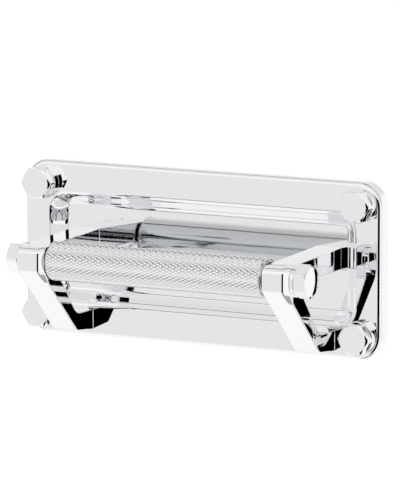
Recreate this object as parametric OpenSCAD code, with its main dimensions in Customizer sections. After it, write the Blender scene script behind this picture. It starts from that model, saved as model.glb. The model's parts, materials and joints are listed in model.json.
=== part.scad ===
// Wall-mounted toilet paper holder: a recessed back plate, two bracket arms, hexagonal
// fixings and a knurled roller that turns on two end pins, one fixed and one sprung.
//
// X runs along the roller, Y runs into the wall and Z is up. The origin is the centre of the
// back plate's rear face, on the wall, so everything in front of the wall has a negative Y.

/* [Back plate] */
// Overall width
plate_w = 221; // [200:1:240]
// Overall height
plate_h = 97; // [92:1:110]
// Thickness from the wall to the flat band
plate_t = 9; // [8.6:0.1:12]
// Outer corner radius
plate_corner_r = 14; // [8:0.5:18]
// Radius of the rounded front edge
plate_edge_r = 2.75; // [1:0.25:4]
// Width of the recess where it leaves the flat band
recess_w = 192; // [184:1:194]
// Height of the recess where it leaves the flat band
recess_h = 64.6; // [60:0.2:66]
// Corner radius of the recess where it leaves the flat band
recess_corner_r = 12; // [11:0.5:14]
// Depth of the recess floor below the flat band
recess_d = 7.4; // [5:0.1:7.4]
// Width of the moulded slope between the band and the recess floor
moulding_w = 9.5; // [6:0.5:10]

/* [Arms] */
// Gap between the two arms
arm_gap = 135; // [125:1:140]
// Width of each arm along the roller
arm_w = 15.3; // [13:0.1:16]
// Distance of the nose in front of the flat band
nose_reach = 56.1; // [52:0.1:60]
// Height of the nose
nose_h = 13.2; // [12:0.1:15]
// Height of the upper leg's top edge at the plate
leg_top = 10.9; // [9:0.1:12]
// Thickness of the upper leg at the plate
upper_leg_t = 11.9; // [9:0.1:12]
// Thickness of the diagonal lower leg
lower_leg_t = 6.6; // [5:0.1:7]
// Distance of the lower leg's bend in front of the flat band
bend_reach = 17.5; // [14:0.5:20]
// Height of the lower leg's bend below the roller axis
bend_drop = 43.2; // [41:0.1:44]
// Height of the foot's lower edge below the roller axis
foot_drop = 44.6; // [43:0.1:45]
// Height of the foot where it meets the plate
foot_h = 11.2; // [9:0.1:12]

/* [Roller] */
// Distance of the roller axis in front of the flat band
axis_reach = 44.9; // [42:0.1:47]
// Length of the knurled sleeve
roller_l = 133; // [120:1:134]
// Outer radius of the knurled sleeve
roller_r = 10.8; // [9:0.1:12]
// Wall thickness of the sleeve
sleeve_wall = 2.2; // [1.5:0.1:3]
// Radius of the two end pins
pin_r = 2.5; // [2:0.1:3]
// How far each end pin reaches past the sleeve
pin_reach = 6; // [5:0.5:6.5]
// Radial running clearance of the pins
pin_clearance = 0.05; // [0.02:0.01:0.1]

/* [Hexagonal fixings] */
// Width across flats of the hexagons
hex_af = 16.4; // [14:0.1:18]
// Length of an end cap outside its arm
cap_l = 10.1; // [7:0.1:12]
// Thickness of an end cap's round collar
cap_collar_t = 2.1; // [1.5:0.1:3]
// Radius of an end cap's round collar
cap_collar_r = 8.9; // [8.4:0.1:9.4]
// Distance between the corner fixings along X
fixing_dx = 196.8; // [190:0.2:200]
// Distance between the corner fixings along Z
fixing_dz = 72; // [68:0.5:78]
// Projection of a corner fixing from the flat band
fixing_l = 10; // [8:0.5:12]
// Thickness of the round collar behind a corner nut
fixing_collar_t = 4.4; // [3:0.1:5]
// Radius of the round collar behind a corner nut
fixing_collar_r = 9.3; // [9:0.1:10]
// Radius of a wall stud's threaded end behind the plate
stud_r = 2.5; // [2.2:0.1:3]
// Length of a wall stud behind the plate
stud_reach = 16; // [10:1:17]
// Radius of a wall stud where it passes through the plate into its nut
bolt_r = 2; // [1.5:0.1:2]

/* [Hidden] */
$fn = 96;

// Sides of the frame, as the sign of X or Z
LEFT = -1;
RIGHT = 1;
TOP = 1;
BOTTOM = -1;
CHROME = [0.86, 0.87, 0.88];
STEEL = [0.62, 0.63, 0.65];
NYLON = [0.93, 0.93, 0.9];
cut = 0.5;            // how far a cutter runs past the face it opens
fit = 0.05;           // radial gap of parts that are screwed or pressed together
arc_steps = 8;        // segments in each rounded corner of an outline

// Distances in front of the wall
floor_v = plate_t - recess_d;
axis_v = plate_t + axis_reach;
nose_v = plate_t + nose_reach;
bend_v = plate_t + bend_reach;
arm_x = arm_gap / 2;

// Arm outline
nose_lift = 1.4;      // height of the nose's middle above the roller axis
nose_top = nose_lift + nose_h / 2;
nose_bottom = nose_lift - nose_h / 2;
nose_round = 2.2;
bend_round = 4;
inner_bend_round = 9;
crotch_round = 3;
hub_r = 8.2;          // depth of the material behind the roller axis
leg_sag = 1.1;        // drop of the upper leg's underside from the plate to the crotch
crotch_drop = 9.6;    // depth of the crotch's lower corner below the roller axis
crotch_lean = 0.5;    // how far that corner stands in front of the upper one
foot_top = -foot_drop + foot_h;
leg_dir = [bend_v - nose_v, -bend_drop - nose_bottom];
leg_unit = leg_dir / norm(leg_dir);
inner_line = [nose_v, nose_bottom] + [leg_unit[1], -leg_unit[0]] * lower_leg_t;
bend_inner = inner_line + leg_unit * (foot_top - inner_line[1]) / leg_unit[1];
crotch_v = axis_v - hub_r;

// Arm screws
upper_screw_r = 1.5;
upper_screw_z = leg_top - upper_leg_t / 2;
upper_head_r = 2.75;
upper_head_t = 1.3;
lower_screw_r = 2;
lower_screw_z = -foot_drop + foot_h / 2;
lower_head_r = 3.8;
lower_head_t = 2;
screw_bite = 10;      // depth of each screw in its arm

// End caps and bushes
bush_r = 4.4;
bush_l = 6.5;
shank_r = 3;
shank_gap = 0.4;      // gap between an end cap's shank and its arm's bush
shank_l = arm_w - bush_l - shank_gap;
chamfer_h = 1.1;
hex_r = hex_af / sqrt(3);
hex_face_share = 0.48; // radius of the round face inside the chamfer, as a share of hex_af
hex_face_r = hex_af * hex_face_share;

// Roller internals
bore_r = roller_r - sleeve_wall;
plug_l = 9;
fixed_pin_bite = 7;
flange_r = 6.5;
flange_t = 2.5;
spring_l = 26;
spring_wire_r = 0.6;
spring_r = 5;
spring_turns = 6;
spring_turn_steps = 20;
spring_sides = 6;
spring_gap = 0.1; // gap between the spring and each part it bears on
seat_t = 4;
plug_inner_x = roller_l / 2 - plug_l;
flange_x = plug_inner_x - flange_t;
seat_x = flange_x - spring_l;

// Corner fixings
nut_top_t = 4; // metal between the end of a stud and the face of its nut
stud_top = plate_t + fixing_l - nut_top_t;
nut_socket_gap = 0.4; // gap past the end of a stud inside its nut

// Points of a circular arc of radius r that rounds the corner b of the path a, b, c
function rounded_corner(a, b, c, r) =
  let (
    u = (a - b) / norm(a - b),
    w = (c - b) / norm(c - b),
    half = acos(u * w) / 2,
    centre = b + (u + w) / norm(u + w) * r / sin(half),
    from = b + u * r / tan(half) - centre,
    to = b + w * r / tan(half) - centre
  )
  [
    for (i = [0:arc_steps])
      let (t = i / arc_steps, sweep = 180 - 2 * half)
      centre + (from * sin((1 - t) * sweep) + to * sin(t * sweep)) / sin(sweep)
  ];

// Closed outline whose corners are [point, radius] pairs; a radius of 0 stays sharp
function rounded_outline(corners) =
  let (n = len(corners))
  [
    for (i = [0:n - 1])
      let (p = corners[(i + n - 1) % n][0], q = corners[i][0], s = corners[(i + 1) % n][0])
      each corners[i][1] > 0 ? rounded_corner(p, q, s, corners[i][1]) : [q]
  ];

// Quarter circle from the side of the plate to its front face: [outward, height] pairs
function edge_profile(r, t) = concat(
  [[-r, 0], [0, 0]],
  [for (i = [0:arc_steps]) let (a = 90 * i / arc_steps) [-r + r * cos(a), t - r + r * sin(a)]]
);

// S-shaped slope of the recess, from its floor up to the band: [outward, height] pairs
function moulding_profile(w, h, over) = concat(
  [[-w - over, h + over], [-w - over, 0]],
  [
    for (i = [0:2 * arc_steps])
      let (t = i / (2 * arc_steps))
      [-w + w * t, h * (1 - cos(180 * t)) / 2]
  ],
  [[0, h + over]]
);

// Turns a shape drawn in X and Y, thick in Z, to stand on the wall: up becomes Z, out is -Y
module on_wall(v = 0) {
  translate([0, -v, 0]) rotate([90, 0, 0]) children();
}

// Lays a shape built along Z on the roller axis, from x towards +X
module on_axis(x) {
  translate([x, -axis_v, 0]) rotate([0, 90, 0]) children();
}

// Sweeps an [outward, height] profile round a rectangle with rounded corners
module frame_sweep(w, h, r) {
  for (side = [0, 1]) {
    mirror([side, 0, 0]) translate([w / 2, -h / 2 + r, 0])
      rotate([90, 0, 180]) mirror([1, 0, 0]) linear_extrude(h - 2 * r) children();
    mirror([0, side, 0]) translate([w / 2 - r, h / 2, 0])
      rotate([90, 0, 270]) mirror([1, 0, 0]) linear_extrude(w - 2 * r) children();
  }
  for (sx = [0, 1], sy = [0, 1])
    mirror([sx, 0, 0]) mirror([0, sy, 0]) translate([w / 2 - r, h / 2 - r, 0])
      rotate_extrude(angle = 90) translate([r, 0]) children();
}

// Flat slab with rounded corners
module rounded_slab(w, h, r, t) {
  linear_extrude(t) {
    square([w - 2 * r, h], center = true);
    square([w, h - 2 * r], center = true);
    for (x = [-1, 1], y = [-1, 1]) translate([x * (w / 2 - r), y * (h / 2 - r)]) circle(r);
  }
}

// Countersunk hole or screw head: a shaft that widens to the rear face
module countersunk(r, head_r, head_t, l) {
  cylinder(r = r, h = l);
  cylinder(r1 = head_r, r2 = r, h = head_t);
}

// Hexagonal head with a chamfered round face at its top
module hex_head(l) {
  intersection() {
    cylinder(r = hex_r, h = l, $fn = 6);
    union() {
      cylinder(r = hex_r + cut, h = l - chamfer_h);
      translate([0, 0, l - chamfer_h]) cylinder(r1 = hex_r, r2 = hex_face_r, h = chamfer_h);
    }
  }
}

// Places its children at one corner fixing
module at_fixing(side, end, v) {
  translate([side * fixing_dx / 2, 0, end * fixing_dz / 2]) on_wall(v) children();
}

module back_plate() {
  color(CHROME) difference() {
    on_wall() union() {
      rounded_slab(plate_w - 2 * plate_edge_r, plate_h - 2 * plate_edge_r,
                   plate_corner_r - plate_edge_r, plate_t);
      frame_sweep(plate_w, plate_h, plate_corner_r)
        polygon(edge_profile(plate_edge_r, plate_t));
    }
    on_wall(floor_v) union() {
      rounded_slab(recess_w - 2 * moulding_w, recess_h - 2 * moulding_w,
                   recess_corner_r - moulding_w, recess_d + cut);
      frame_sweep(recess_w, recess_h, recess_corner_r)
        polygon(moulding_profile(moulding_w, recess_d, cut));
    }
    for (side = [LEFT, RIGHT], end = [TOP, BOTTOM])
      at_fixing(side, end, -cut) cylinder(r = stud_r + fit, h = plate_t + 2 * cut);
    for (side = [LEFT, RIGHT]) {
      arm_screw_place(side, upper_screw_z)
        countersunk(upper_screw_r + fit, upper_head_r + fit, upper_head_t, plate_t);
      arm_screw_place(side, lower_screw_z)
        countersunk(lower_screw_r + fit, lower_head_r + fit, lower_head_t, plate_t + cut);
    }
  }
}

// Bracket profile in [distance from the wall, height]
function arm_outline() = rounded_outline([
  [[nose_v, nose_top], nose_round],
  [[floor_v, leg_top], 0],
  [[floor_v, leg_top - upper_leg_t], 0],
  [[crotch_v, leg_top - upper_leg_t - leg_sag], crotch_round],
  [[crotch_v + crotch_lean, -crotch_drop], crotch_round],
  [bend_inner, inner_bend_round],
  [[plate_t, foot_top], 0],
  [[plate_t, -foot_drop], 0],
  [[bend_v, -bend_drop], bend_round],
  [[nose_v, nose_bottom], nose_round]
]);

// Places an arm screw's axis, from the wall forwards
module arm_screw_place(side, z) {
  translate([side * (arm_x + arm_w / 2), 0, z]) on_wall() children();
}

module arm(side) {
  color(CHROME) difference() {
    translate([side > 0 ? arm_x : -arm_x - arm_w, 0, 0])
      rotate([90, 0, 90]) linear_extrude(arm_w)
        mirror([1, 0]) polygon(arm_outline());
    mirror([side > 0 ? 0 : 1, 0, 0]) {
      on_axis(arm_x - cut) cylinder(r = bush_r + fit, h = bush_l + cut);
      on_axis(arm_x + bush_l - cut) cylinder(r = shank_r + fit, h = arm_w);
    }
    arm_screw_place(side, upper_screw_z)
      cylinder(r = upper_screw_r + fit, h = floor_v + screw_bite + cut);
    arm_screw_place(side, lower_screw_z)
      cylinder(r = lower_screw_r + fit, h = plate_t + screw_bite + cut);
  }
}

module arm_screw_upper(side) {
  color(STEEL) arm_screw_place(side, upper_screw_z)
    countersunk(upper_screw_r, upper_head_r, upper_head_t, floor_v + screw_bite);
}

module arm_screw_lower(side) {
  color(STEEL) arm_screw_place(side, lower_screw_z)
    countersunk(lower_screw_r, lower_head_r, lower_head_t, plate_t + screw_bite);
}

// The right cap shows a flat to the front and the left one a corner
module end_cap(side) {
  color(CHROME) mirror([side > 0 ? 0 : 1, 0, 0]) on_axis(arm_x + arm_w) {
    cylinder(r = cap_collar_r, h = cap_collar_t);
    rotate(side > 0 ? 0 : 30) hex_head(cap_l);
    translate([0, 0, -shank_l]) cylinder(r = shank_r, h = shank_l + cut);
  }
}

module pin_bush(side) {
  color(NYLON) mirror([side > 0 ? 0 : 1, 0, 0]) on_axis(arm_x) difference() {
    cylinder(r = bush_r, h = bush_l);
    translate([0, 0, -cut]) cylinder(r = pin_r + pin_clearance, h = bush_l + 2 * cut);
  }
}

module corner_collar(side, end) {
  color(CHROME) at_fixing(side, end, plate_t) difference() {
    cylinder(r = fixing_collar_r, h = fixing_collar_t);
    translate([0, 0, -cut]) cylinder(r = bolt_r + fit, h = fixing_collar_t + 2 * cut);
  }
}

module corner_nut(side, end) {
  color(CHROME) at_fixing(side, end, plate_t + fixing_collar_t) difference() {
    hex_head(fixing_l - fixing_collar_t);
    translate([0, 0, -cut])
      cylinder(r = bolt_r + fit, h = stud_top - plate_t - fixing_collar_t + nut_socket_gap + cut);
  }
}

// The stud's wide end stops on the wall side of the plate's clearance hole
module wall_stud(side, end) {
  color(STEEL) at_fixing(side, end, 0) {
    translate([0, 0, -stud_reach]) cylinder(r = stud_r, h = stud_reach);
    cylinder(r = bolt_r, h = stud_top);
  }
}

module roller_sleeve() {
  color(CHROME) on_axis(-roller_l / 2) difference() {
    cylinder(r = roller_r, h = roller_l);
    translate([0, 0, -cut]) cylinder(r = bore_r, h = roller_l + 2 * cut);
  }
}

module roller_plug(side) {
  hole_r = pin_r + (side > 0 ? pin_clearance : fit);
  color(CHROME) mirror([side > 0 ? 0 : 1, 0, 0]) on_axis(plug_inner_x) difference() {
    cylinder(r = bore_r - fit, h = plug_l);
    translate([0, 0, -cut]) cylinder(r = hole_r, h = plug_l + 2 * cut);
  }
}

module fixed_pin() {
  color(STEEL) on_axis(-roller_l / 2 - pin_reach)
    cylinder(r = pin_r, h = pin_reach + fixed_pin_bite);
}

module spring_seat() {
  color(STEEL) on_axis(seat_x - seat_t) cylinder(r = bore_r - fit, h = seat_t);
}

module plunger_pin() {
  color(STEEL) on_axis(flange_x) {
    cylinder(r = flange_r, h = flange_t);
    cylinder(r = pin_r, h = flange_t + plug_l + pin_reach);
  }
}

// One ring of the spring's wire at turn angle a
function spring_ring(a) =
  let (
    low = spring_wire_r + spring_gap,
    rise = low + (spring_l - 2 * low) * a / (360 * spring_turns)
  )
  [
    for (i = [0:spring_sides - 1])
      let (b = 360 * i / spring_sides, r = spring_r + spring_wire_r * cos(b))
      [r * cos(a), r * sin(a), rise + spring_wire_r * sin(b)]
  ];

module plunger_spring() {
  rings = spring_turns * spring_turn_steps;
  last = rings * spring_sides;
  color(STEEL) on_axis(seat_x) polyhedron(
    points = [for (i = [0:rings]) each spring_ring(360 * i / spring_turn_steps)],
    faces = concat(
      [[for (i = [0:spring_sides - 1]) i]],
      [
        for (i = [0:rings - 1], k = [0:spring_sides - 1])
          let (a = i * spring_sides, n = (k + 1) % spring_sides)
          [a + k, a + k + spring_sides, a + n + spring_sides, a + n]
      ],
      [[for (i = [0:spring_sides - 1]) last + spring_sides - 1 - i]]
    )
  );
}

back_plate();
arm(LEFT);  // arm_left
arm(RIGHT);  // arm_right
arm_screw_upper(LEFT);  // arm_screw_upper_left
arm_screw_upper(RIGHT);  // arm_screw_upper_right
arm_screw_lower(LEFT);  // arm_screw_lower_left
arm_screw_lower(RIGHT);  // arm_screw_lower_right
end_cap(LEFT);  // end_cap_left
end_cap(RIGHT);  // end_cap_right
pin_bush(LEFT);  // pin_bush_left
pin_bush(RIGHT);  // pin_bush_right
corner_collar(LEFT, TOP);  // corner_collar_top_left
corner_collar(RIGHT, TOP);  // corner_collar_top_right
corner_collar(LEFT, BOTTOM);  // corner_collar_bottom_left
corner_collar(RIGHT, BOTTOM);  // corner_collar_bottom_right
corner_nut(LEFT, TOP);  // corner_nut_top_left
corner_nut(RIGHT, TOP);  // corner_nut_top_right
corner_nut(LEFT, BOTTOM);  // corner_nut_bottom_left
corner_nut(RIGHT, BOTTOM);  // corner_nut_bottom_right
wall_stud(LEFT, TOP);  // wall_stud_top_left
wall_stud(RIGHT, TOP);  // wall_stud_top_right
wall_stud(LEFT, BOTTOM);  // wall_stud_bottom_left
wall_stud(RIGHT, BOTTOM);  // wall_stud_bottom_right
roller_sleeve();
roller_plug(LEFT);  // roller_plug_left
roller_plug(RIGHT);  // roller_plug_right
fixed_pin();
spring_seat();
plunger_spring();
plunger_pin();
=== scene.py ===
"""Looks for a wall-mounted toilet paper holder: polished chrome plate and brackets, hexagonal
fixings and a diamond-knurled roller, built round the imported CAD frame."""

import json
import math

import bmesh
import bpy
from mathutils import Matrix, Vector


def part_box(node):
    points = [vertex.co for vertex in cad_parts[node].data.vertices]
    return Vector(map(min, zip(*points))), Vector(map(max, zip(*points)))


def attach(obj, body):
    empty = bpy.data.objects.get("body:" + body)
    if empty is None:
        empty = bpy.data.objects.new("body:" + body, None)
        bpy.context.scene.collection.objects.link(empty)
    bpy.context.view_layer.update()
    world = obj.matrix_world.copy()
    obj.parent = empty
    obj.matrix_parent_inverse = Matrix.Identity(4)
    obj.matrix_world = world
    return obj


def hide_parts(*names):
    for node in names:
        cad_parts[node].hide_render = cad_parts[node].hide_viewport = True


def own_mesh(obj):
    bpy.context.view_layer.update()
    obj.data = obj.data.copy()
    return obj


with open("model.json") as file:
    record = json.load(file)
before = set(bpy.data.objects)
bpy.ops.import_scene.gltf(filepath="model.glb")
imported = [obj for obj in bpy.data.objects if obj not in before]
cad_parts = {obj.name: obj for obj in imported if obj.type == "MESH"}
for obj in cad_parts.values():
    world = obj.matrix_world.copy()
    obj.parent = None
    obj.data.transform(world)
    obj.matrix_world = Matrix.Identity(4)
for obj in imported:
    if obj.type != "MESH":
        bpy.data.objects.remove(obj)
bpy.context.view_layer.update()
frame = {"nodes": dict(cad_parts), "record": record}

MM = 0.001
LEFT, RIGHT = -1, 1
SIDES = {"left": LEFT, "right": RIGHT}
ENDS = {"top": 1, "bottom": -1}

# ---------------------------------------------------------------- sizes, in metres

# Read from the frame. Names end in _L, _W, _H and _T for length, width, height and thickness,
# in _R for radius, and in _V for distance from the wall.
PLATE_LO, PLATE_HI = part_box("back_plate")
PLATE_W = PLATE_HI[0] - PLATE_LO[0]
PLATE_H = PLATE_HI[2] - PLATE_LO[2]
PLATE_T = PLATE_HI[1] - PLATE_LO[1]
ARM_LO, ARM_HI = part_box("arm_right")
ARM_X = ARM_LO[0]
ARM_W = ARM_HI[0] - ARM_LO[0]
NOSE_V = -ARM_LO[1]
FLOOR_V = -ARM_HI[1]
SLEEVE_LO, SLEEVE_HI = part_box("roller_sleeve")
ROLLER_L = SLEEVE_HI[0] - SLEEVE_LO[0]
ROLLER_R = (SLEEVE_HI[2] - SLEEVE_LO[2]) / 2
AXIS_V = -(SLEEVE_LO[1] + SLEEVE_HI[1]) / 2
CAP_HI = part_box("end_cap_right")[1]
NUT_LO, NUT_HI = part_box("corner_nut_top_right")
NUT_L = NUT_HI[1] - NUT_LO[1]
COLLAR_LO, COLLAR_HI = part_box("corner_collar_top_right")
COLLAR_R = (COLLAR_HI[0] - COLLAR_LO[0]) / 2
COLLAR_T = COLLAR_HI[1] - COLLAR_LO[1]
FIXING_X = (NUT_LO[0] + NUT_HI[0]) / 2
FIXING_Z = (NUT_LO[2] + NUT_HI[2]) / 2
STUD_LO, STUD_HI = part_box("wall_stud_top_right")
SPRING_LO, SPRING_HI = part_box("plunger_spring")

# Room round a part in its hole, and how far a cutter reaches past a face
FIT = 0.05 * MM
OVERCUT = 1 * MM

# Meshes: points nearer than SAME_POINT are one, faces under NO_AREA are left out, and edges
# sharper than CREASE degrees show
SAME_POINT = 0.0001 * MM
NO_AREA = 0.0001 * MM * MM
CREASE = 32
ROUND_STEPS = 96
BORE_STEPS = 64
SMALL_STEPS = 48

# Back plate
PLATE_CORNER_R = 14 * MM
PLATE_EDGE_R = 2.75 * MM
PLATE_EDGE_STEPS = 14
PLATE_BACK_R = 0.5 * MM
PLATE_BACK_STEPS = 4
RECESS_W = 192 * MM
RECESS_H = 64.6 * MM
RECESS_CORNER_R = 12 * MM
MOULDING_W = 9.5 * MM
MOULDING_STEPS = 30
STUD_HOLE_L = PLATE_T - 1 * MM

# Arm outline
NOSE_TOP = 8 * MM
NOSE_BOTTOM = -5.2 * MM
NOSE_TOP_ROUND = 4.5 * MM
NOSE_BOTTOM_ROUND = 2.2 * MM
LEG_TOP = ARM_HI[2]
UPPER_LEG_T = 11.9 * MM
LOWER_LEG_T = 6.6 * MM
BEND_V = PLATE_T + 17.5 * MM
BEND_DROP = 43.2 * MM
BEND_ROUND = 4 * MM
INNER_BEND_ROUND = 9 * MM
CROTCH_V = AXIS_V - 8.2 * MM
CROTCH_TOP = LEG_TOP - UPPER_LEG_T - 1.1 * MM
CROTCH_BOTTOM = -9.6 * MM
CROTCH_LEAN = 0.5 * MM
CROTCH_ROUND = 3 * MM
FOOT_BOTTOM = ARM_LO[2]
FOOT_TOP = FOOT_BOTTOM + 11.2 * MM
OUTLINE_STEP = 1.5 * MM

# Arm edges: the slope across the right of each nose, and the small round of every edge
NOSE_FRONT = 8 * MM
NOSE_SLOPE = 3.8 * MM
SLOPE_TURN = math.radians(48)
SLOPE_ROUND = 2.1 * MM
ARM_EDGE = 0.5 * MM
EDGE_STEPS = 8
BUSH_R = 4.4 * MM
BUSH_L = 6.5 * MM

# Knurled sleeve
KNURL_AROUND = 37
KNURL_ALONG = 34
KNURL_DEPTH = 0.28 * MM
KNURL_TOP = 0.38
SLEEVE_BORE_R = ROLLER_R - 2.2 * MM
BORE_CHAMFER = 0.25 * MM
SLEEVE_RIM_L = 1.5 * MM
SLEEVE_RIM_R = ROLLER_R - 0.04 * MM
SLEEVE_RIM_STEP = 0.2 * MM
SLEEVE_ROUND = 1.2 * MM
SLEEVE_ROUND_STEPS = 6
TUBE_R = ROLLER_R - KNURL_DEPTH - 0.02 * MM

# Plunger spring
SPRING_TURNS = 6
SPRING_WIRE_R = 0.6 * MM
SPRING_STEPS = 32
WIRE_STEPS = 10

# Hexagonal heads: HEX_FOOT is the share of the size at the foot, the edges are broken by small
# steps in and down, and turns are in degrees
HEX_AF = NUT_HI[2] - NUT_LO[2]
HEX_FACE_R = HEX_AF * 0.48
HEX_CORNER_R = 1.0 * MM
HEX_CHAMFER = math.tan(math.radians(31))
HEX_SIDE_STEPS = 10
HEX_CORNER_STEPS = 4
HEX_FOOT = 0.985
HEX_EDGE = 0.14 * MM
SIDE_BREAK_IN, SIDE_BREAK_DOWN = HEX_EDGE * 0.6, HEX_EDGE * 0.2
FACE_BREAK_IN, FACE_BREAK_DOWN = HEX_EDGE * 1.6, HEX_EDGE * 0.15
NUT_TURN = 30

# Collars, each with a small chamfer (in, up) at its foot and a round edge
COLLAR_FOOT = (0.15 * MM, 0.15 * MM)
COLLAR_ROUND = 0.6 * MM
COLLAR_ROUND_STEPS = 6

# End caps
CAP_COLLAR_R = 8.9 * MM
CAP_COLLAR_T = 2.1 * MM
CAP_COLLAR_FOOT = (0.1 * MM, 0.12 * MM)
CAP_COLLAR_ROUND = 0.45 * MM
CAP_COLLAR_ROUND_STEPS = 5
CAP_L = CAP_HI[0] - (ARM_X + ARM_W)
CAP_DOME = 1.0 * MM
CAP_DOME_STEPS = 8
CAP_TURN = {"left": 30, "right": 0}  # degrees

# Wall studs: STUD_TIP is the share of the radius at the point
STUD_R = (STUD_HI[2] - STUD_LO[2]) / 2
STUD_ROOT_R = 1.75 * MM
STUD_NECK_R = 1.95 * MM
STUD_SHOULDER_L = 0.8 * MM
STUD_POINT_L = 6 * MM
STUD_TIP = 0.12
THREAD_PITCH = 2 * MM
THREAD_SHARPNESS = 3.6
THREAD_STEPS = 8
THREAD_AROUND = 24

# Arm screws: shank radius and head length, then the cross recess as shares of the head
SCREWS = {"upper": (1.5 * MM, 1.3 * MM), "lower": (2 * MM, 2 * MM)}
SCREW_EDGE = 0.1 * MM
SCREW_SINK = 0.02 * MM
CROSS_REACH = 0.62
CROSS_HALF_W = 0.13
CROSS_DEPTH = 0.7
CROSS_TAPER = 0.45

# Looks: how much finer a surface's waves are than its tone, and the painted shade in the knurl's
# grooves: the brightness left at their bottoms, which fades in between two shares of the knurl's
# depth
WAVE_FINENESS = 2.2
GROOVE_SHADE = 0.5
GROOVE_SHADE_START, GROOVE_SHADE_END = 0.6, 0.95

# Studio
STUDIO_LIGHT = 1.02
STUDIO_FLOOR_REACH = 12
STUDIO_FLOOR_DROP = 0.55
STUDIO_FLOOR_GLOW = 0.38

# Camera, with its lens and sensor in millimetres and its shift as a share of the picture
AZIMUTH = math.radians(28.5)
ELEVATION = math.radians(8.73)
CAMERA_DISTANCE = 2.705
LENS = 355.9
SENSOR_W = 36
SHIFT_Y = 0.0166


# ---------------------------------------------------------------- mesh helpers

def new_object(name, bm, material=None):
    """Turns a bmesh into an object in the scene."""
    mesh = bpy.data.meshes.new(name)
    bm.to_mesh(mesh)
    bm.free()
    if material:
        mesh.materials.append(material)
    made = bpy.data.objects.new(name, mesh)
    bpy.context.scene.collection.objects.link(made)
    return made


def join_frame(piece, body, nodes):
    """Puts a piece on its body and hides the CAD nodes that it stands for."""
    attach(piece, body)
    if nodes:
        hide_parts(*nodes)


def finish_mesh(name, bm, material, body, nodes=(), sharp=CREASE):
    """Turns a bmesh into a smooth-shaded piece that rides on a body and replaces CAD nodes."""
    bmesh.ops.remove_doubles(bm, verts=bm.verts, dist=SAME_POINT)
    bmesh.ops.recalc_face_normals(bm, faces=bm.faces)
    piece = new_object(name, bm, material)
    smooth(piece, sharp)
    join_frame(piece, body, nodes)
    return piece


def smooth(piece, sharp=CREASE):
    """Smooth shading with creases above an angle in degrees, and flat faces kept flat."""
    piece.data.shade_smooth()
    piece.data.set_sharp_from_angle(angle=math.radians(sharp))
    weighted = piece.modifiers.new("flat faces stay flat", "WEIGHTED_NORMAL")
    weighted.keep_sharp = True
    weighted.weight = 100


def apply_modifiers(piece):
    """Makes the piece's modified mesh its own mesh."""
    bpy.context.view_layer.update()
    shaped = piece.evaluated_get(bpy.context.evaluated_depsgraph_get())
    mesh = bpy.data.meshes.new_from_object(shaped)
    piece.modifiers.clear()
    piece.data = mesh


def cut_away(piece, bm):
    """Takes the closed shapes in a bmesh out of a piece."""
    bmesh.ops.recalc_face_normals(bm, faces=bm.faces)
    cutter = new_object("cutter", bm)
    hole = piece.modifiers.new("hole", "BOOLEAN")
    hole.operation = "DIFFERENCE"
    hole.solver = "EXACT"
    hole.object = cutter
    apply_modifiers(piece)
    bpy.data.objects.remove(cutter)


def add_loft(bm, rings, capped=True):
    """Joins closed rings that have the same number of points."""
    loops = [[bm.verts.new(point) for point in ring] for ring in rings]
    count = len(loops[0])
    for low, high in zip(loops, loops[1:]):
        for i in range(count):
            j = (i + 1) % count
            bm.faces.new((low[i], low[j], high[j], high[i]))
    if capped:
        bm.faces.new(loops[0][::-1])
        bm.faces.new(loops[-1])


def along_roller(x, side):
    """Places [across, up, along] points on the roller axis, running outwards from x."""
    return lambda a, b, h: Vector((side * (x + h), -AXIS_V + a, b))


def out_of_wall(x, z, v):
    """Places [across, up, out] points at x and z, running forwards from distance v."""
    return lambda a, b, h: Vector((x + a, -(v + h), z + b))


def add_lathe(bm, profile, place, steps=ROUND_STEPS, capped=True):
    """Turns a [radius, height] profile about its axis."""
    turns = [2 * math.pi * i / steps for i in range(steps)]
    rings = [[place(r * math.cos(t), r * math.sin(t), h) for t in turns] for r, h in profile]
    add_loft(bm, rings, capped)


def arc(cx, cy, r, start, end, steps):
    """Points of a circular arc, with angles in degrees."""
    angles = [math.radians(start + (end - start) * i / steps) for i in range(steps + 1)]
    return [(cx + r * math.cos(a), cy + r * math.sin(a)) for a in angles]


def rounded_outline(corners, steps=10):
    """Closed outline through [point, radius] corners."""
    points = []
    for i, (corner, r) in enumerate(corners):
        b = Vector(corner)
        if r == 0:
            points.append(b)
            continue
        u = (Vector(corners[i - 1][0]) - b).normalized()
        w = (Vector(corners[(i + 1) % len(corners)][0]) - b).normalized()
        half = u.angle(w) / 2
        centre = b + (u + w).normalized() * r / math.sin(half)
        start = b + u * r / math.tan(half) - centre
        end = b + w * r / math.tan(half) - centre
        sweep = math.pi - 2 * half
        for k in range(steps + 1):
            t = k / steps
            turned = start * math.sin((1 - t) * sweep) + end * math.sin(t * sweep)
            points.append(centre + turned / math.sin(sweep))
    return points


def rounded_rectangle(w, h, r, v, steps=14):
    """Ring of a rectangle with rounded corners, at distance v from the wall."""
    ring = []
    for sx, sz, start in ((1, 1, 0), (-1, 1, 90), (-1, -1, 180), (1, -1, 270)):
        corner = arc(sx * (w / 2 - r), sz * (h / 2 - r), r, start, start + 90, steps)
        ring += [Vector((x, -v, z)) for x, z in corner]
    return ring


def hexagon_ring(turn):
    """Points of a hexagon with slightly rounded corners, turned by an angle in degrees."""
    ring = []
    inner = HEX_AF / 2 - HEX_CORNER_R
    reach = inner * math.tan(math.radians(30))
    for side in range(6):
        facing = math.radians(turn + 60 * side)
        across = Vector((-math.sin(facing), math.cos(facing)))
        out = Vector((math.cos(facing), math.sin(facing)))
        for i in range(HEX_SIDE_STEPS + 1):
            ring.append(out * HEX_AF / 2 + across * reach * (2 * i / HEX_SIDE_STEPS - 1))
        corner = out * inner + across * reach
        for i in range(1, HEX_CORNER_STEPS):
            a = facing + math.radians(60 * i / HEX_CORNER_STEPS)
            ring.append(corner + HEX_CORNER_R * Vector((math.cos(a), math.sin(a))))
    return ring


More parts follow.
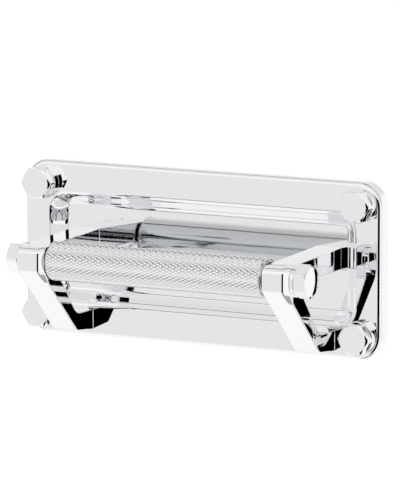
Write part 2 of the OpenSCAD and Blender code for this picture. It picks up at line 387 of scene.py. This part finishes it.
def add_hex_head(bm, place, foot, face, turn, dome=0):
    """Hexagonal head from height foot to height face, with a chamfered round face that is flat
    or domed, and finely broken edges."""
    outline = hexagon_ring(turn)
    rim = face - dome
    face_r = HEX_FACE_R - FACE_BREAK_IN

    def chamfer_height(radius):
        return rim - max(radius - HEX_FACE_R, 0) * HEX_CHAMFER

    def ring(inset, drop):
        scaled = [p * (1 - inset / p.length) for p in outline]
        return [place(s.x, s.y, chamfer_height(p.length) - drop) for s, p in zip(scaled, outline)]

    def circle(radius, height):
        return [place(*(p.normalized() * radius), height) for p in outline]

    rings = [
        [place(p.x * HEX_FOOT, p.y * HEX_FOOT, foot) for p in outline],
        [place(p.x, p.y, foot + HEX_EDGE) for p in outline],
        ring(0, HEX_EDGE),
        ring(SIDE_BREAK_IN, SIDE_BREAK_DOWN),
        circle(HEX_FACE_R, rim - FACE_BREAK_DOWN),
        circle(face_r, rim),
    ]
    for i in range(1, CAP_DOME_STEPS if dome else 0):
        share = 1 - i / CAP_DOME_STEPS
        rings.append(circle(face_r * share, rim + dome * (1 - share * share)))
    add_loft(bm, rings)


def add_collar(bm, place, radius, thickness, foot, edge_r, steps):
    """Round collar with a small chamfer at its foot and a round outer edge."""
    profile = [(radius - foot[0], 0), (radius, foot[1])]
    for r, h in arc(0, 0, edge_r, 0, 90, steps):
        profile.append((radius - edge_r + r, thickness - edge_r + h))
    add_lathe(bm, profile, place)


# ---------------------------------------------------------------- materials

def new_material(name):
    material = bpy.data.materials.new(name)
    material.use_nodes = True
    nodes = material.node_tree.nodes
    return material, nodes, material.node_tree.links, nodes["Principled BSDF"]


def add_noise(nodes, links, scale, detail):
    """Noise over the object's own coordinates, in cycles per metre."""
    place = nodes.new("ShaderNodeTexCoord")
    noise = nodes.new("ShaderNodeTexNoise")
    noise.inputs["Scale"].default_value = scale
    noise.inputs["Detail"].default_value = detail
    links.new(place.outputs["Object"], noise.inputs["Vector"])
    return noise.outputs["Fac"]


def add_range(nodes, links, source, results, sources=(0.3, 0.7)):
    """Maps the range that a value runs through to another range."""
    span = nodes.new("ShaderNodeMapRange")
    span.inputs["From Min"].default_value, span.inputs["From Max"].default_value = sources
    span.inputs["To Min"].default_value, span.inputs["To Max"].default_value = results
    links.new(source, span.inputs["Value"])
    return span.outputs["Result"]


def add_tone(nodes, links, noise, tones):
    """Colour between a dark and a light tone."""
    dark, light = tones
    tone = nodes.new("ShaderNodeMix")
    tone.data_type = "RGBA"
    tone.inputs["A"].default_value = (*dark, 1)
    tone.inputs["B"].default_value = (*light, 1)
    links.new(noise, tone.inputs["Factor"])
    return tone.outputs["Result"]


def add_bump(nodes, links, height, shader, distance):
    bump = nodes.new("ShaderNodeBump")
    bump.inputs["Distance"].default_value = distance
    links.new(height, bump.inputs["Height"])
    links.new(bump.outputs["Normal"], shader.inputs["Normal"])


def metal(name, tones, roughness, scale, wave):
    """Plated or turned metal whose tone, polish and surface vary slightly from place to place."""
    material, nodes, links, shader = new_material(name)
    shader.inputs["Metallic"].default_value = 1.0
    noise = add_noise(nodes, links, scale, detail=3)
    links.new(add_tone(nodes, links, noise, tones), shader.inputs["Base Color"])
    links.new(add_range(nodes, links, noise, roughness), shader.inputs["Roughness"])
    waves = add_noise(nodes, links, scale * WAVE_FINENESS, detail=1)
    add_bump(nodes, links, waves, shader, wave)
    return material


def plastic(name, tones, roughness, scale, wave):
    """Moulded plastic with a fine grain."""
    material, nodes, links, shader = new_material(name)
    noise = add_noise(nodes, links, scale, detail=4)
    links.new(add_tone(nodes, links, noise, tones), shader.inputs["Base Color"])
    links.new(add_range(nodes, links, noise, roughness), shader.inputs["Roughness"])
    add_bump(nodes, links, noise, shader, wave)
    return material


def paint_groove_shade(material):
    """Paints shade into the bottoms of the knurl's grooves, by distance from the roller axis."""
    nodes, links = material.node_tree.nodes, material.node_tree.links
    shader = nodes["Principled BSDF"]
    place = nodes.new("ShaderNodeTexCoord")
    mapping = nodes.new("ShaderNodeMapping")
    mapping.inputs["Location"].default_value = (0, AXIS_V, 0)
    mapping.inputs["Scale"].default_value = (0, 1, 1)
    reach = nodes.new("ShaderNodeVectorMath")
    reach.operation = "LENGTH"
    links.new(place.outputs["Object"], mapping.inputs["Vector"])
    links.new(mapping.outputs["Vector"], reach.inputs[0])
    dark_r = ROLLER_R - KNURL_DEPTH * GROOVE_SHADE_END
    clear_r = ROLLER_R - KNURL_DEPTH * GROOVE_SHADE_START
    # painted shade: the knurl's base colour darkens between these radii, down to GROOVE_SHADE at the
    # groove bottoms
    shade = add_range(nodes, links, reach.outputs["Value"], (GROOVE_SHADE, 1), (dark_r, clear_r))
    tone = nodes.new("ShaderNodeMix")
    tone.data_type = "RGBA"
    tone.blend_type = "MULTIPLY"
    tone.inputs["Factor"].default_value = 1
    links.new(shader.inputs["Base Color"].links[0].from_socket, tone.inputs["A"])
    links.new(shade, tone.inputs["B"])
    links.new(tone.outputs["Result"], shader.inputs["Base Color"])
    return material


PLATING = (0.905, 0.91, 0.92), (0.925, 0.93, 0.94)
UNPOLISHED = (0.60, 0.61, 0.62), (0.70, 0.71, 0.72)
BRIGHT = (0.93, 0.935, 0.94), (0.97, 0.975, 0.98)
DRAWN = (0.60, 0.61, 0.62), (0.66, 0.67, 0.68)
BARE = (0.50, 0.51, 0.53), (0.62, 0.63, 0.65)
CREAM = (0.80, 0.80, 0.76), (0.88, 0.88, 0.85)

CHROME = metal("polished chrome", PLATING, (0.006, 0.02), scale=45, wave=0.008 * MM)
CAST = metal("polished chrome casting", PLATING, (0.01, 0.03), scale=60, wave=0.016 * MM)
RECESS_CHROME = metal("recess chrome", PLATING, (0.03, 0.06), scale=25, wave=0.03 * MM)
RAW = metal("unpolished plating", UNPOLISHED, (0.3, 0.42), scale=130, wave=0.02 * MM)
# the knurl's colour carries painted shade in the bottoms of its grooves
KNURL = paint_groove_shade(metal("knurled chrome", BRIGHT, (0.12, 0.17), scale=220, wave=0.004 * MM))
TUBE = metal("drawn tube", DRAWN, (0.05, 0.09), scale=90, wave=0.008 * MM)
STEEL = metal("turned steel", BARE, (0.22, 0.36), scale=400, wave=0.01 * MM)
NYLON = plastic("nylon", CREAM, (0.4, 0.55), scale=900, wave=0.02 * MM)


# ---------------------------------------------------------------- back plate

def moulding_rings():
    """Rings of the S-shaped slope from the flat band down to the recess floor."""
    rings = []
    depth = PLATE_T - FLOOR_V
    for i in range(MOULDING_STEPS + 1):
        t = i / MOULDING_STEPS
        inset = MOULDING_W * t
        v = PLATE_T - depth * (1 - math.cos(math.pi * t)) / 2
        size = (RECESS_W - 2 * inset, RECESS_H - 2 * inset, RECESS_CORNER_R - inset)
        rings.append(rounded_rectangle(*size, v))
    return rings


def outer_rings():
    """Rings from the rear face round both edges to the front of the plate."""
    edge = [
        (PLATE_BACK_R - x, v)
        for x, v in arc(0, PLATE_BACK_R, PLATE_BACK_R, 270, 360, PLATE_BACK_STEPS)
    ]
    edge += [
        (PLATE_EDGE_R - x, v)
        for x, v in arc(0, PLATE_T - PLATE_EDGE_R, PLATE_EDGE_R, 0, 90, PLATE_EDGE_STEPS)
    ]
    rings = []
    for inset, v in edge:
        size = (PLATE_W - 2 * inset, PLATE_H - 2 * inset, PLATE_CORNER_R - inset)
        rings.append(rounded_rectangle(*size, v))
    return rings


def make_back_plate():
    """Thick plate with a moulded recess, drilled from behind."""
    bm = bmesh.new()
    add_loft(bm, outer_rings() + moulding_rings())
    plate = finish_mesh("back_plate_shell", bm, CHROME, "bracket", ["back_plate"])
    drill_back_plate(plate)
    plate.data.materials.append(RECESS_CHROME)
    plate.data.materials.append(RAW)
    recess_index, rear_index = 1, 2
    for face in plate.data.polygons:
        facing_front = face.normal.y < -0.999
        facing_away = face.normal.y > -0.1
        if facing_front and face.center.y > -FLOOR_V - FIT:
            face.material_index = recess_index
        elif facing_away and face.center.y > -PLATE_BACK_R - FIT:
            face.material_index = rear_index
    smooth(plate)


def drill_back_plate(plate):
    """Clearance holes for the wall studs and countersinks for the arm screws."""
    bm = bmesh.new()
    for side in SIDES.values():
        for end in ENDS.values():
            place = out_of_wall(side * FIXING_X, end * FIXING_Z, 0)
            hole = [(STUD_R + FIT, -OVERCUT), (STUD_R + FIT, STUD_HOLE_L)]
            add_lathe(bm, hole, place, SMALL_STEPS)
    for level in SCREWS:
        for side_name in SIDES:
            place, head_r, _ = screw_place(level, side_name)
            shank_r, head_l = SCREWS[level]
            cone = [(head_r + FIT, -OVERCUT), (head_r + FIT, 0), (shank_r + FIT, head_l)]
            add_lathe(bm, cone, place, SMALL_STEPS)
    cut_away(plate, bm)


# ---------------------------------------------------------------- arms

def arm_corners():
    """Corners of the arm's side view, as [distance from the wall, height] and a radius."""
    nose_foot = Vector((NOSE_V, NOSE_BOTTOM))
    bend = Vector((BEND_V, -BEND_DROP))
    leg = (bend - nose_foot).normalized()
    inner = nose_foot + Vector((leg.y, -leg.x)) * LOWER_LEG_T
    bend_inner = inner + leg * (FOOT_TOP - inner.y) / leg.y
    return [
        ((NOSE_V, NOSE_TOP), NOSE_TOP_ROUND),
        ((FLOOR_V, LEG_TOP), 0),
        ((FLOOR_V, LEG_TOP - UPPER_LEG_T), 0),
        ((CROTCH_V, CROTCH_TOP), CROTCH_ROUND),
        ((CROTCH_V + CROTCH_LEAN, CROTCH_BOTTOM), CROTCH_ROUND),
        (tuple(bend_inner), INNER_BEND_ROUND),
        ((PLATE_T, FOOT_TOP), 0),
        ((PLATE_T, FOOT_BOTTOM), 0),
        (tuple(bend), BEND_ROUND),
        (tuple(nose_foot), NOSE_BOTTOM_ROUND),
    ]


def divided(outline, longest):
    """The same closed outline with its long sides cut into short ones."""
    points = []
    for i, p in enumerate(outline):
        q = outline[(i + 1) % len(outline)]
        pieces = max(1, math.ceil((q - p).length / longest))
        points += [p.lerp(q, k / pieces) for k in range(pieces)]
    return points


def arm_ring(outline, x, inset, back):
    """The arm's outline at x, moved inwards, with the front of its nose set back."""
    ring = []
    for k, p in enumerate(outline):
        along = outline[(k + 1) % len(outline)] - outline[k - 1]
        q = p + Vector((-along.y, along.x)).normalized() * inset
        share = min(max((q.x - NOSE_V + NOSE_FRONT) / NOSE_FRONT, 0), 1)
        ring.append(Vector((x, back * share - q.x, q.y)))
    return ring


def arm_edge(outline, x, facing):
    """Rings up to the side face at x: a slope across the right of the nose, then a small edge."""
    rings = []
    across, back, slope = 0, 0, 0
    if facing == RIGHT:
        slope = math.tan(SLOPE_TURN)
        for i in range(EDGE_STEPS + 1):
            turn = SLOPE_TURN * i / EDGE_STEPS
            across = NOSE_SLOPE - SLOPE_ROUND * math.sin(turn)
            back = SLOPE_ROUND * (1 - math.cos(turn))
            rings.append(arm_ring(outline, x - across, 0, back))
    for i in range(EDGE_STEPS + 1):
        turn = math.radians(90 * i / EDGE_STEPS)
        rest = ARM_EDGE * (1 - math.sin(turn))
        inset = ARM_EDGE * (1 - math.cos(turn))
        rings.append(arm_ring(outline, x - facing * rest, inset, back + (across - rest) * slope))
    return rings


def make_arm(side_name):
    """Cast bracket with two legs and a nose, bored for the pin bush."""
    side = SIDES[side_name]
    outline = divided(rounded_outline(arm_corners()), OUTLINE_STEP)
    turning = sum(outline[i - 1].cross(outline[i]) for i in range(len(outline)))
    if turning < 0:
        outline.reverse()
    left, right = sorted((side * ARM_X, side * (ARM_X + ARM_W)))
    bm = bmesh.new()
    add_loft(bm, arm_edge(outline, left, LEFT)[::-1] + arm_edge(outline, right, RIGHT))
    bmesh.ops.recalc_face_normals(bm, faces=bm.faces)
    arm = new_object(f"arm_{side_name}_casting", bm, CAST)
    bm = bmesh.new()
    bore = [(BUSH_R + FIT, -OVERCUT), (BUSH_R + FIT, BUSH_L)]
    add_lathe(bm, bore, along_roller(ARM_X, side), BORE_STEPS)
    cut_away(arm, bm)
    smooth(arm)
    join_frame(arm, "bracket", [f"arm_{side_name}"])


# ---------------------------------------------------------------- fixings

def make_end_cap(side_name):
    """Round collar and domed hexagonal head outside an arm, on the roller's line."""
    place = along_roller(ARM_X + ARM_W, SIDES[side_name])
    rounding = (CAP_COLLAR_FOOT, CAP_COLLAR_ROUND, CAP_COLLAR_ROUND_STEPS)
    bm = bmesh.new()
    add_collar(bm, place, CAP_COLLAR_R, CAP_COLLAR_T, *rounding)
    add_hex_head(bm, place, CAP_COLLAR_T, CAP_L, CAP_TURN[side_name], CAP_DOME)
    finish_mesh(f"end_cap_{side_name}_head", bm, CHROME, "bracket", [f"end_cap_{side_name}"])


def make_corner_nut(end_name, side_name):
    """Collar and hexagonal cap nut on a corner of the plate."""
    x, z = SIDES[side_name] * FIXING_X, ENDS[end_name] * FIXING_Z
    where = f"{end_name}_{side_name}"
    rounding = (COLLAR_FOOT, COLLAR_ROUND, COLLAR_ROUND_STEPS)
    bm = bmesh.new()
    add_collar(bm, out_of_wall(x, z, PLATE_T), COLLAR_R, COLLAR_T, *rounding)
    finish_mesh(f"collar_{where}_turned", bm, CHROME, "bracket", [f"corner_collar_{where}"])
    bm = bmesh.new()
    add_hex_head(bm, out_of_wall(x, z, PLATE_T + COLLAR_T), 0, NUT_L, NUT_TURN)
    finish_mesh(f"nut_{where}_turned", bm, CHROME, "bracket", [f"corner_nut_{where}"])


def thread_radius(depth, turn, length):
    """Radius of the stud's thread at a depth in the wall and a share of a turn."""
    phase = (depth / THREAD_PITCH + turn) % 1
    ridge = max(0, 1 - abs(phase - 0.5) * THREAD_SHARPNESS)
    run_in = min(1, depth / THREAD_PITCH)
    taper = min(1, STUD_TIP + (length - depth) / STUD_POINT_L)
    return (STUD_ROOT_R + (STUD_R - STUD_ROOT_R) * ridge * run_in) * taper


def make_stud(end_name, side_name):
    """Wall stud: a coarse thread with a point behind the plate, and a plain neck through it."""
    place = out_of_wall(SIDES[side_name] * FIXING_X, ENDS[end_name] * FIXING_Z, 0)
    length, neck_l = STUD_HI[1], -STUD_LO[1]
    count = round(length / THREAD_PITCH * THREAD_STEPS)
    rings = []
    for i in range(count + 1):
        depth = length * i / count
        ring = []
        for k in range(THREAD_AROUND):
            turn = k / THREAD_AROUND
            r = thread_radius(depth, turn, length)
            angle = 2 * math.pi * turn
            ring.append(place(r * math.cos(angle), r * math.sin(angle), -depth))
        rings.append(ring)
    bm = bmesh.new()
    add_loft(bm, rings)
    add_lathe(bm, [(STUD_R, -STUD_SHOULDER_L), (STUD_R, 0)], place, SMALL_STEPS)
    add_lathe(bm, [(STUD_NECK_R, 0), (STUD_NECK_R, neck_l)], place, SMALL_STEPS)
    name = f"wall_stud_{end_name}_{side_name}"
    finish_mesh(f"{name}_threaded", bm, STEEL, "bracket", [name], sharp=40)


def screw_place(level, side_name):
    """Where an arm screw stands, with its head's radius and its length."""
    lo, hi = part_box(f"arm_screw_{level}_{side_name}")
    place = out_of_wall((lo[0] + hi[0]) / 2, (lo[2] + hi[2]) / 2, 0)
    return place, (hi[0] - lo[0]) / 2, -lo[1]


def cross_outline(head_r):
    """Outline of a screw's cross recess, whose arm towards -X comes to a point."""
    reach, half = head_r * CROSS_REACH, head_r * CROSS_HALF_W
    cross = [(reach, half), (half, half), (half, reach), (-half, reach), (-half, half)]
    cross += [(-a, -b) for a, b in cross] + [(reach, -half)]
    return sorted(cross, key=lambda p: math.atan2(p[1], p[0]))


def make_arm_screw(level, side_name):
    """Countersunk screw, flush with the plate's rear face, with a cross recess."""
    name = f"arm_screw_{level}_{side_name}"
    place, head_r, length = screw_place(level, side_name)
    shank_r, head_l = SCREWS[level]
    profile = [(head_r - SCREW_EDGE, SCREW_SINK), (head_r, SCREW_EDGE), (shank_r, head_l)]
    bm = bmesh.new()
    add_lathe(bm, profile + [(shank_r, length)], place, SMALL_STEPS)
    screw = finish_mesh(f"{name}_turned", bm, STEEL, "bracket", [name])
    screw.modifiers.clear()
    cross = cross_outline(head_r)
    heights = ((1, -OVERCUT), (1, SCREW_SINK), (CROSS_TAPER, head_l * CROSS_DEPTH))
    bm = bmesh.new()
    add_loft(bm, [[place(a * k, b * k, h) for a, b in cross] for k, h in heights])
    cut_away(screw, bm)
    smooth(screw, sharp=25)


# ---------------------------------------------------------------- roller

def knurl_point(x, step, depth):
    """Point on the sleeve at x, a number of half cells round it and a depth below the points."""
    turn = math.pi * step / KNURL_AROUND
    r = ROLLER_R - depth
    return Vector((x, -AXIS_V + r * math.cos(turn), r * math.sin(turn)))


def area(corners):
    """Area of a four-cornered face before it is made."""
    a, b, c, d = (v.co for v in corners)
    return ((b - a).cross(c - a).length + (c - a).cross(d - a).length) / 2


def add_knurl(bm, start, end):
    """Diamond knurl: rows of blunt four-sided pyramids between two sets of crossing grooves."""
    half_x = (end - start) / (2 * KNURL_ALONG)
    around = ((1, 0), (0, 1), (-1, 0), (0, -1))

    def corners(x, step, share, depth):
        """A pyramid's four corners at a share of its size, cut off at the skin's ends."""
        points = []
        for a, b in around:
            reach = min(max(x + a * half_x * share, start), end)
            points.append(bm.verts.new(knurl_point(reach, step + b * share, depth)))
        return points

    for i in range(2 * KNURL_ALONG + 1):
        x = start + i * half_x
        for step in range(i % 2, 2 * KNURL_AROUND, 2):
            low = corners(x, step, 1, KNURL_DEPTH)
            top = corners(x, step, KNURL_TOP, 0)
            faces = [(low[k], low[(k + 1) % 4], top[(k + 1) % 4], top[k]) for k in range(4)]
            for face in faces + [tuple(top)]:
                if area(face) > NO_AREA:
                    bm.faces.new(face)
            if i in (0, 2 * KNURL_ALONG):
                bm.faces.new((low[1], top[1], top[3], low[3]))


def make_sleeve():
    """Smooth tube with plain rims, and the knurled skin between the rims."""
    half = ROLLER_L / 2
    end = [(SLEEVE_BORE_R, BORE_CHAMFER), (SLEEVE_BORE_R + BORE_CHAMFER, 0)]
    for h, r in arc(0, 0, SLEEVE_ROUND, 0, 90, SLEEVE_ROUND_STEPS):
        end.append((SLEEVE_RIM_R - SLEEVE_ROUND + r, SLEEVE_ROUND - h))
    end += [(SLEEVE_RIM_R, SLEEVE_RIM_L), (TUBE_R, SLEEVE_RIM_L + SLEEVE_RIM_STEP)]
    far_end = [(r, ROLLER_L - h) for r, h in reversed(end)]
    profile = end + far_end + [end[0]]
    bm = bmesh.new()
    add_lathe(bm, profile, along_roller(-half, RIGHT), KNURL_AROUND * 2, capped=False)
    finish_mesh("roller_sleeve_tube", bm, TUBE, "roller", ["roller_sleeve"])
    bm = bmesh.new()
    add_knurl(bm, SLEEVE_RIM_L - half, half - SLEEVE_RIM_L)
    skin = finish_mesh("roller_sleeve_knurl", bm, KNURL, "roller", (), sharp=12)
    skin.visible_glossy = False  # the polished parts mirror the smooth tube instead


def make_spring():
    """Coil spring between its seat and the plunger's flange."""
    length = SPRING_HI[0] - SPRING_LO[0]
    coil_r = (SPRING_HI[2] - SPRING_LO[2]) / 2 - SPRING_WIRE_R
    place = along_roller(SPRING_LO[0], RIGHT)
    count = SPRING_TURNS * SPRING_STEPS
    last = 360 - 360 / WIRE_STEPS
    rings = []
    for i in range(count + 1):
        turn = 2 * math.pi * i / SPRING_STEPS
        rise = SPRING_WIRE_R + (length - 2 * SPRING_WIRE_R) * i / count
        ring = []
        for h, r in arc(rise, coil_r, SPRING_WIRE_R, 0, last, WIRE_STEPS - 1):
            ring.append(place(r * math.cos(turn), r * math.sin(turn), h))
        rings.append(ring)
    bm = bmesh.new()
    add_loft(bm, rings)
    spring = finish_mesh("plunger_spring_coil", bm, STEEL, "roller", ["plunger_spring"])
    apply_modifiers(spring)
    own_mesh(spring)


# ---------------------------------------------------------------- the object

def dress_cad_nodes():
    """Gives the CAD nodes that are shown as they are the same materials as the pieces."""
    materials = {"chrome": CHROME, "knurled_chrome": KNURL, "steel": STEEL, "nylon": NYLON}
    for subpart in frame["record"]["subparts"]:
        node = frame["nodes"][subpart["node"]]
        for material_slot in node.material_slots:
            material_slot.material = materials[subpart["material_slot"]]


make_back_plate()
for side_name in SIDES:
    make_arm(side_name)
    make_end_cap(side_name)
    for level in SCREWS:
        make_arm_screw(level, side_name)
    for end_name in ENDS:
        make_corner_nut(end_name, side_name)
        make_stud(end_name, side_name)
make_sleeve()
make_spring()
dress_cad_nodes()


# ---------------------------------------------------------------- studio

def calculator(nodes, links):
    """A function that adds a maths node over numbers and sockets, and returns its result."""
    def calculate(operation, *values):
        node = nodes.new("ShaderNodeMath")
        node.operation = operation
        for socket, value in zip(node.inputs, values):
            if isinstance(value, (int, float)):
                socket.default_value = value
            else:
                links.new(value, socket)
        return node.outputs[0]

    return calculate


def direction_angles(nodes, links, calculate):
    """Azimuth, elevation and tilt about X of a world direction in degrees, all 0 at the front."""
    place = nodes.new("ShaderNodeTexCoord")
    split = nodes.new("ShaderNodeSeparateXYZ")
    links.new(place.outputs["Generated"], split.inputs["Vector"])
    right, up = split.outputs["X"], split.outputs["Z"]
    front = calculate("MULTIPLY", split.outputs["Y"], -1)
    degrees = 180 / math.pi
    azimuth = calculate("MULTIPLY", calculate("ARCTAN2", right, front), degrees)
    elevation = calculate("MULTIPLY", calculate("ARCSINE", up), degrees)
    tilt = calculate("MULTIPLY", calculate("ARCTAN2", up, front), degrees)
    return azimuth, elevation, tilt


def studio_zones(nodes, links, calculate):
    """The zones of the studio that aren't fully white, each with the share of light left in it."""
    azimuth, elevation, tilt = direction_angles(nodes, links, calculate)

    def step(value, low, high):
        """0 at low, rising smoothly to 1 at high."""
        node = nodes.new("ShaderNodeMapRange")
        node.interpolation_type = "SMOOTHSTEP"
        node.inputs["From Min"].default_value = low
        node.inputs["From Max"].default_value = high
        links.new(value, node.inputs["Value"])
        return node.outputs["Result"]

    def window(value, low, high, blur):
        """1 between low and high, fading out over blur degrees at each end."""
        rise = step(value, low - blur / 2, low + blur / 2)
        fall = step(value, high + blur / 2, high - blur / 2)
        return calculate("MULTIPLY", rise, fall)

    def patch(azimuths, elevations, blur):
        """1 between two azimuths and two elevations, fading out at the edges."""
        across = window(azimuth, *azimuths, blur)
        return calculate("MULTIPLY", across, window(elevation, *elevations, blur))

    return [
        (patch((-75, 3), (-45, 12), 16), 0.85 / STUDIO_LIGHT),  # panel at the front left
        (patch((82, 120), (-60, 60), 16), 0.88),  # panel at the right
        (window(tilt, 46, 160, 10), 0.8),  # ceiling
        (window(elevation, 74, 95, 5), 0.6),  # straight above
        (window(elevation, -95, -69, 5), 0.4),  # straight below
        (patch((-132, -95), (-50, 40), 12), 0.5),  # panel behind, at the left
        (window(tilt, 86, 94, 3), 0.12),  # thin dark bar overhead
        (patch((1, 50), (-64, 18), 4), 0.0),  # black card at the front right
    ]


def make_world():
    """White studio with soft grey panels round the holder and a black card at the front right.
    The camera sees it as plain white."""
    world = bpy.data.worlds.new("studio")
    world.use_nodes = True
    bpy.context.scene.world = world
    nodes, links = world.node_tree.nodes, world.node_tree.links
    calculate = calculator(nodes, links)
    light = STUDIO_LIGHT
    for zone, share in studio_zones(nodes, links, calculate):
        kept = calculate("SUBTRACT", 1, calculate("MULTIPLY", zone, 1 - share))
        light = calculate("MULTIPLY", light, kept)
    background = nodes["Background"]
    background.inputs["Color"].default_value = (1, 1, 1, 1)
    links.new(light, background.inputs["Strength"])
    backdrop = nodes.new("ShaderNodeBackground")
    backdrop.inputs["Color"].default_value = (1, 1, 1, 1)
    paths = nodes.new("ShaderNodeLightPath")
    mix = nodes.new("ShaderNodeMixShader")
    links.new(paths.outputs["Is Camera Ray"], mix.inputs["Fac"])
    links.new(background.outputs["Background"], mix.inputs[1])
    links.new(backdrop.outputs["Background"], mix.inputs[2])
    links.new(mix.outputs["Shader"], nodes["World Output"].inputs["Surface"])


def make_floor():
    """Plain pale floor, well below the holder."""
    reach = STUDIO_FLOOR_REACH
    material, _, _, shader = new_material("floor")
    shader.inputs["Base Color"].default_value = (0.9, 0.9, 0.9, 1)
    shader.inputs["Roughness"].default_value = 0.9
    shader.inputs["Emission Color"].default_value = (1, 1, 1, 1)
    shader.inputs["Emission Strength"].default_value = STUDIO_FLOOR_GLOW
    corners = ((-reach, -reach), (reach, -reach), (reach, reach), (-reach, reach))
    bm = bmesh.new()
    bm.faces.new([bm.verts.new((x, y, -STUDIO_FLOOR_DROP)) for x, y in corners])
    floor = new_object("floor", bm, material)
    floor.visible_glossy = False  # the polished parts mirror only the studio


def make_camera():
    """Camera in front, a little to the right and above, with a long lens."""
    data = bpy.data.cameras.new("camera")
    data.lens = LENS
    data.sensor_width = SENSOR_W
    data.shift_y = SHIFT_Y
    camera = bpy.data.objects.new("camera", data)
    bpy.context.scene.collection.objects.link(camera)
    back = Vector((
        math.sin(AZIMUTH) * math.cos(ELEVATION),
        -math.cos(AZIMUTH) * math.cos(ELEVATION),
        math.sin(ELEVATION),
    ))
    camera.location = Vector((0, -PLATE_T, 0)) + back * CAMERA_DISTANCE
    camera.rotation_euler = back.to_track_quat("Z", "Y").to_euler()
    bpy.context.scene.camera = camera


make_world()
make_floor()
make_camera()
bpy.context.scene.view_settings.view_transform = "Standard"
